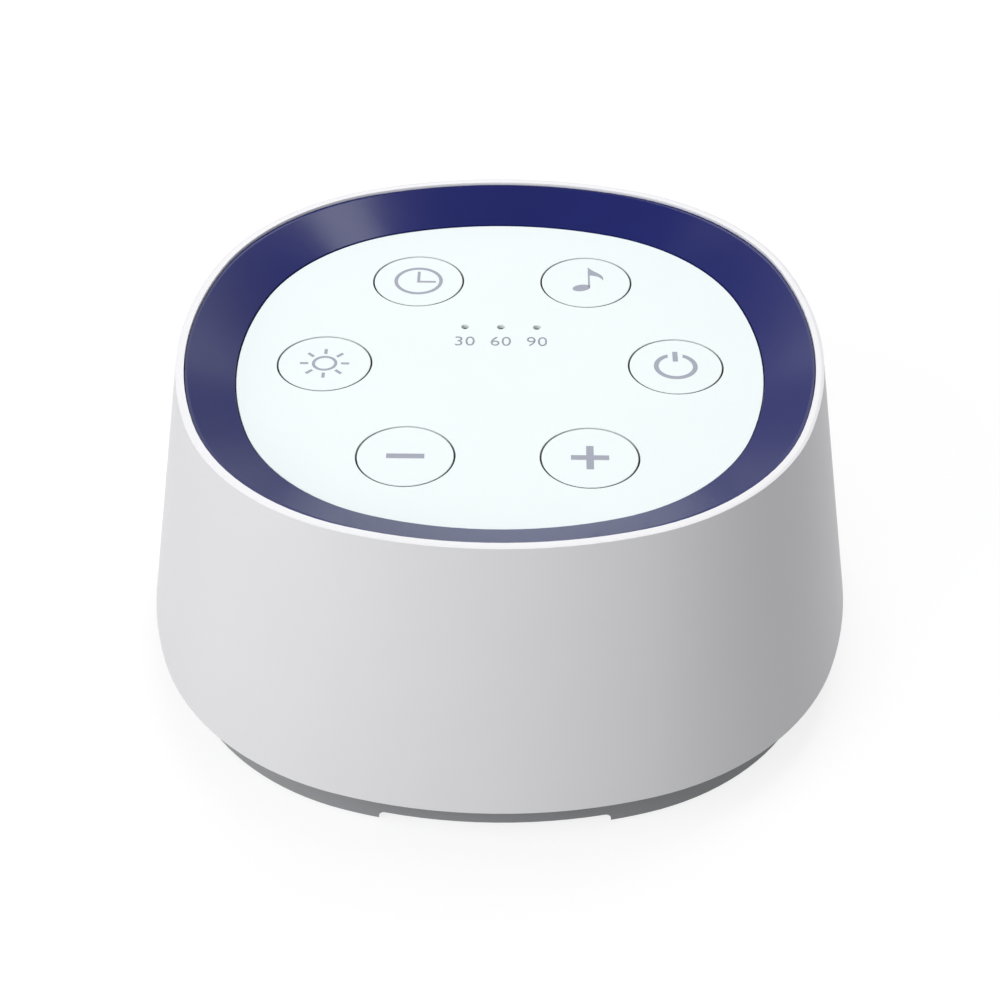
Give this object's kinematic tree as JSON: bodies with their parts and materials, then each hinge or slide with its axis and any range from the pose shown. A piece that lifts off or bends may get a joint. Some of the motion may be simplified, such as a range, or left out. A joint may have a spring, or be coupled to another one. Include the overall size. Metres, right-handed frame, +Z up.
{
  "type": "sound machine",
  "caption": "Square-round tabletop white noise machine: tapered housing, sunken control dish with round push-buttons, dark sloping ring, grey base and a downward loudspeaker.",
  "frame": {"origin": "middle of the underside of the rubber feet, on the table", "axes": "+Z up, -Y towards the front of the picture, +X to its right"},
  "size_m": [0.116, 0.116, 0.0541],
  "materials": {
    "shell": "satin moulded white plastic, very fine grain",
    "ring": "satin navy plastic",
    "panel": "satin white plastic",
    "base": "fine-grained grey plastic",
    "rubber": "soft dark rubber",
    "screw": "zinc-plated",
    "circuit_board": "lacquered green board",
    "black_moulding": "moulded black",
    "switch_plunger": "ivory nylon",
    "timer_light": "small clear light on the board",
    "night_light": "yellow phosphor light on the board",
    "clear_plastic": "clear moulded plastic",
    "connector": "ivory nylon",
    "capacitor": "bare can",
    "soft_surround": "thin soft sheet",
    "basket": "black-painted sheet steel",
    "steel": "plated steel",
    "ferrite": "dark sintered ferrite",
    "paper": "pressed black paper",
    "copper": "enamelled copper winding",
    "terminal_strip": "brown laminate with two tags",
    "socket": "bright plated shell",
    "lead": "flat two-core insulated wire"
  },
  "bodies": {
    "machine": {"housing": "shell", "trim_ring": "ring", "control_panel": "panel", "base": "base", "rubber_feet": "rubber", "base_screws": "screw", "control_board": "circuit_board", "inlet_board": "circuit_board", "sound_chip": "black_moulding", "amplifier_chip": "black_moulding", "button_switches": "black_moulding", "timer_leds": "timer_light", "night_light_leds": "night_light", "light_guide": "clear_plastic", "power_connector": "connector", "speaker_connector": "connector", "capacitor": "capacitor", "speaker_surround": "soft_surround", "speaker_basket": "basket", "speaker_top_plate": "steel", "speaker_yoke": "steel", "speaker_magnet": "ferrite", "speaker_terminal": "terminal_strip", "power_socket": "socket", "speaker_lead": "lead", "power_lead": "lead"},
    "power_key": {"power_button": "panel", "power_plunger": "switch_plunger"},
    "sound_key": {"sound_button": "panel", "sound_plunger": "switch_plunger"},
    "timer_key": {"timer_button": "panel", "timer_plunger": "switch_plunger"},
    "light_key": {"light_button": "panel", "light_plunger": "switch_plunger"},
    "volume_down_key": {"volume_down_button": "panel", "volume_down_plunger": "switch_plunger"},
    "volume_up_key": {"volume_up_button": "panel", "volume_up_plunger": "switch_plunger"},
    "cone": {"speaker_cone": "paper", "speaker_dust_cap": "paper", "speaker_voice_coil": "copper"}
  },
  "joints": [
    {"name": "power_press", "type": "slide", "parent": "machine", "child": "power_key", "axis": [0, 0, -1], "range_m": [0, 0.0003], "stiffness_N_per_m": 2500},
    {"name": "sound_press", "type": "slide", "parent": "machine", "child": "sound_key", "axis": [0, 0, -1], "range_m": [0, 0.0003], "stiffness_N_per_m": 2500},
    {"name": "timer_press", "type": "slide", "parent": "machine", "child": "timer_key", "axis": [0, 0, -1], "range_m": [0, 0.0003], "stiffness_N_per_m": 2500},
    {"name": "light_press", "type": "slide", "parent": "machine", "child": "light_key", "axis": [0, 0, -1], "range_m": [0, 0.0003], "stiffness_N_per_m": 2500},
    {"name": "volume_down_press", "type": "slide", "parent": "machine", "child": "volume_down_key", "axis": [0, 0, -1], "range_m": [0, 0.0003], "stiffness_N_per_m": 2500},
    {"name": "volume_up_press", "type": "slide", "parent": "machine", "child": "volume_up_key", "axis": [0, 0, -1], "range_m": [0, 0.0003], "stiffness_N_per_m": 2500},
    {"name": "cone_stroke", "type": "slide", "parent": "machine", "child": "cone", "axis": [0, 0, 1], "range_m": [-0.0004, 0.0004], "stiffness_N_per_m": 2200, "deforming": ["speaker_surround"]}
  ]
}
